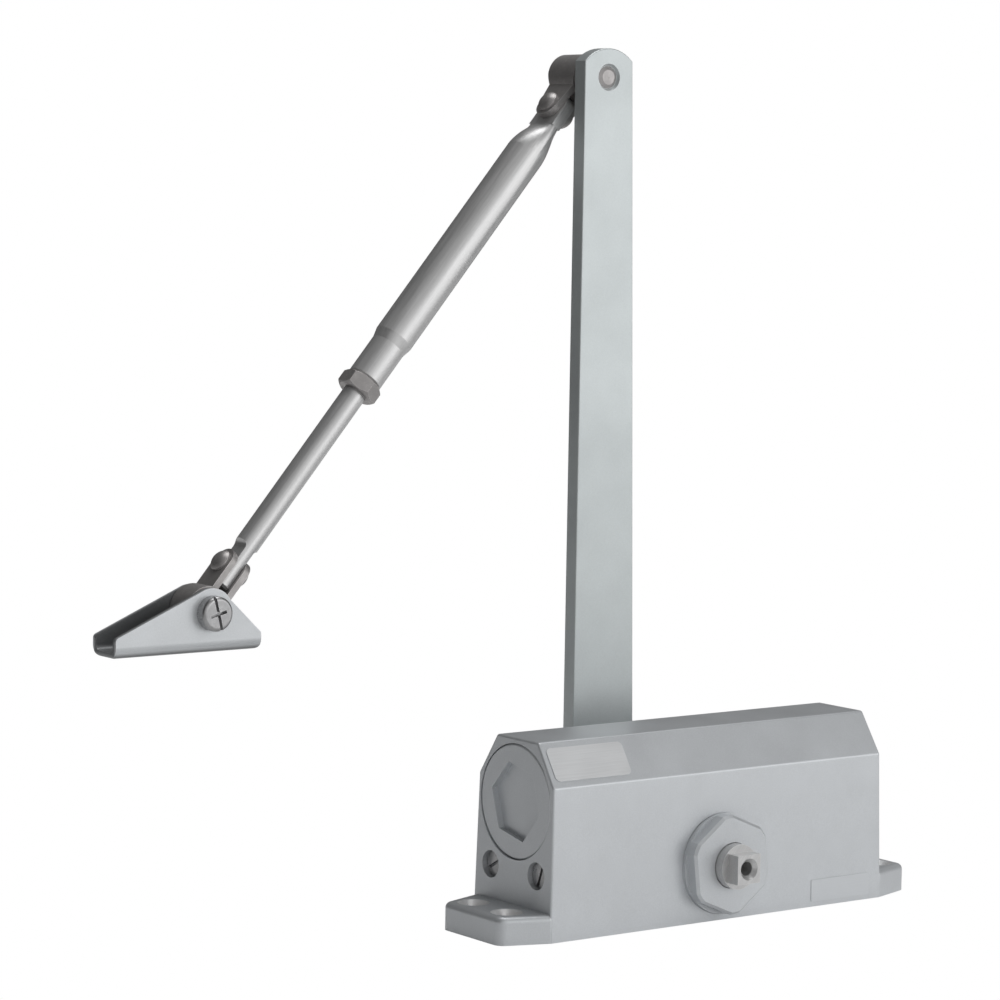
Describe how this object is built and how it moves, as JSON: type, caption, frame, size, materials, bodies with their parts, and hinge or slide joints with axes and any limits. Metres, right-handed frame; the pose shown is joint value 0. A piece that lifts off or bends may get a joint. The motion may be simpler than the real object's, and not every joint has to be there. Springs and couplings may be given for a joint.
{
  "type": "door closer",
  "caption": "Surface-mounted rack-and-pinion door closer with a flanged box body, a flat cranked main arm, an adjustable forearm and a channel shoe.",
  "frame": {"origin": "centre of the four mounting holes, on the mounting face", "axes": "+X along the body away from the speed valves, +Y towards the main arm along the spindle, +Z out of the mounting face"},
  "size_m": [0.2872, 0.1116, 0.2995],
  "materials": {
    "body_paint": "satin silver paint",
    "arm_paint": "satin silver paint",
    "bright_steel": "drawn and plated",
    "dull_steel": "zinc plated, dull",
    "zinc_steel": "bright zinc plated",
    "hard_steel": "ground",
    "brass": "turned",
    "seal_rubber": "matt",
    "plate": "satin foil"
  },
  "bodies": {
    "body": {"housing": "body_paint", "end_cap_left": "body_paint", "end_cap_right": "body_paint", "end_cap_left_seal": "seal_rubber", "end_cap_right_seal": "seal_rubber", "front_bearing_nut": "body_paint", "rear_bearing_nut": "body_paint", "front_bearing_race": "hard_steel", "rear_bearing_race": "hard_steel", "front_bearing_rollers": "hard_steel", "rear_bearing_rollers": "hard_steel", "front_shaft_seal": "seal_rubber", "rear_shaft_seal": "seal_rubber", "spring_outer": "hard_steel", "spring_inner": "hard_steel", "name_plate": "plate", "data_plate": "plate"},
    "sweep_valve": {"sweep_valve_screw": "zinc_steel", "sweep_valve_seal": "seal_rubber"},
    "latch_valve": {"latch_valve_screw": "zinc_steel", "latch_valve_seal": "seal_rubber"},
    "spindle": {"pinion_shaft": "bright_steel", "main_arm": "arm_paint", "arm_washer": "dull_steel", "arm_screw": "zinc_steel", "elbow_rivet": "dull_steel", "elbow_spacer": "dull_steel"},
    "piston": {"piston": "hard_steel", "check_retainer": "brass"},
    "check_ball": {"check_ball": "hard_steel"},
    "elbow": {"elbow_knuckle": "dull_steel", "elbow_fork_rivet": "dull_steel"},
    "forearm": {"forearm_tube": "bright_steel"},
    "lock_nut": {"lock_nut": "dull_steel"},
    "rod": {"adjusting_rod": "bright_steel"},
    "shoe_link": {"shoe_knuckle": "dull_steel", "shoe_fork_rivet": "dull_steel"},
    "shoe": {"shoe": "arm_paint", "shoe_bush": "dull_steel", "shoe_screw": "zinc_steel", "shoe_nut": "zinc_steel"}
  },
  "joints": [
    {"name": "spindle_turn", "type": "hinge", "parent": "body", "child": "spindle", "pos_m": [0, 0, 0.0199], "axis": [0, 1, 0], "range_deg": [0, 150], "stiffness_Nm_per_rad": 6.9, "springref_deg": -99.69, "deforming": ["spring_outer", "spring_inner"]},
    {"name": "piston_slide", "type": "slide", "parent": "body", "child": "piston", "axis": [1, 0, 0], "range_m": [0, 0.0325]},
    {"name": "check_ball_lift", "type": "slide", "parent": "piston", "child": "check_ball", "axis": [-1, 0, 0], "range_m": [0, 0.001]},
    {"name": "sweep_valve_turn", "type": "hinge", "parent": "body", "child": "sweep_valve", "pos_m": [-0.0736, 0.0128, 0.0212], "axis": [-1, 0, 0], "range_deg": [-180, 360]},
    {"name": "latch_valve_turn", "type": "hinge", "parent": "body", "child": "latch_valve", "pos_m": [-0.0736, -0.0128, 0.0212], "axis": [-1, 0, 0], "range_deg": [-180, 360]},
    {"name": "elbow_turn", "type": "hinge", "parent": "spindle", "child": "elbow", "pos_m": [-0.0036, 0.0625, 0.2893], "axis": [0, 1, 0], "range_deg": [-30, 120]},
    {"name": "forearm_tilt", "type": "hinge", "parent": "elbow", "child": "forearm", "pos_m": [-0.01375, 0.0625, 0.27746], "axis": [0.7593, 0, -0.6508], "range_deg": [-3, 12]},
    {"name": "lock_nut_turn", "type": "hinge", "parent": "forearm", "child": "lock_nut", "pos_m": [-0.09634, 0.0625, 0.1811], "axis": [-0.6508, 0, -0.7593], "range_deg": [0, 360]},
    {"name": "rod_adjust", "type": "slide", "parent": "forearm", "child": "rod", "axis": [-0.6508, 0, -0.7593], "range_m": [0, 0.035]},
    {"name": "shoe_tilt", "type": "hinge", "parent": "rod", "child": "shoe_link", "pos_m": [-0.14801, 0.0625, 0.12082], "axis": [0.7593, 0, -0.6508], "range_deg": [-10, 10]},
    {"name": "shoe_turn", "type": "hinge", "parent": "shoe_link", "child": "shoe", "pos_m": [-0.15946, 0.0625, 0.10745], "axis": [0, 1, 0], "range_deg": [-45, 100]}
  ],
  "couplings": [
    {"joint": "piston_slide", "follows": "spindle_turn", "m_per_rad": 0.012}
  ]
}
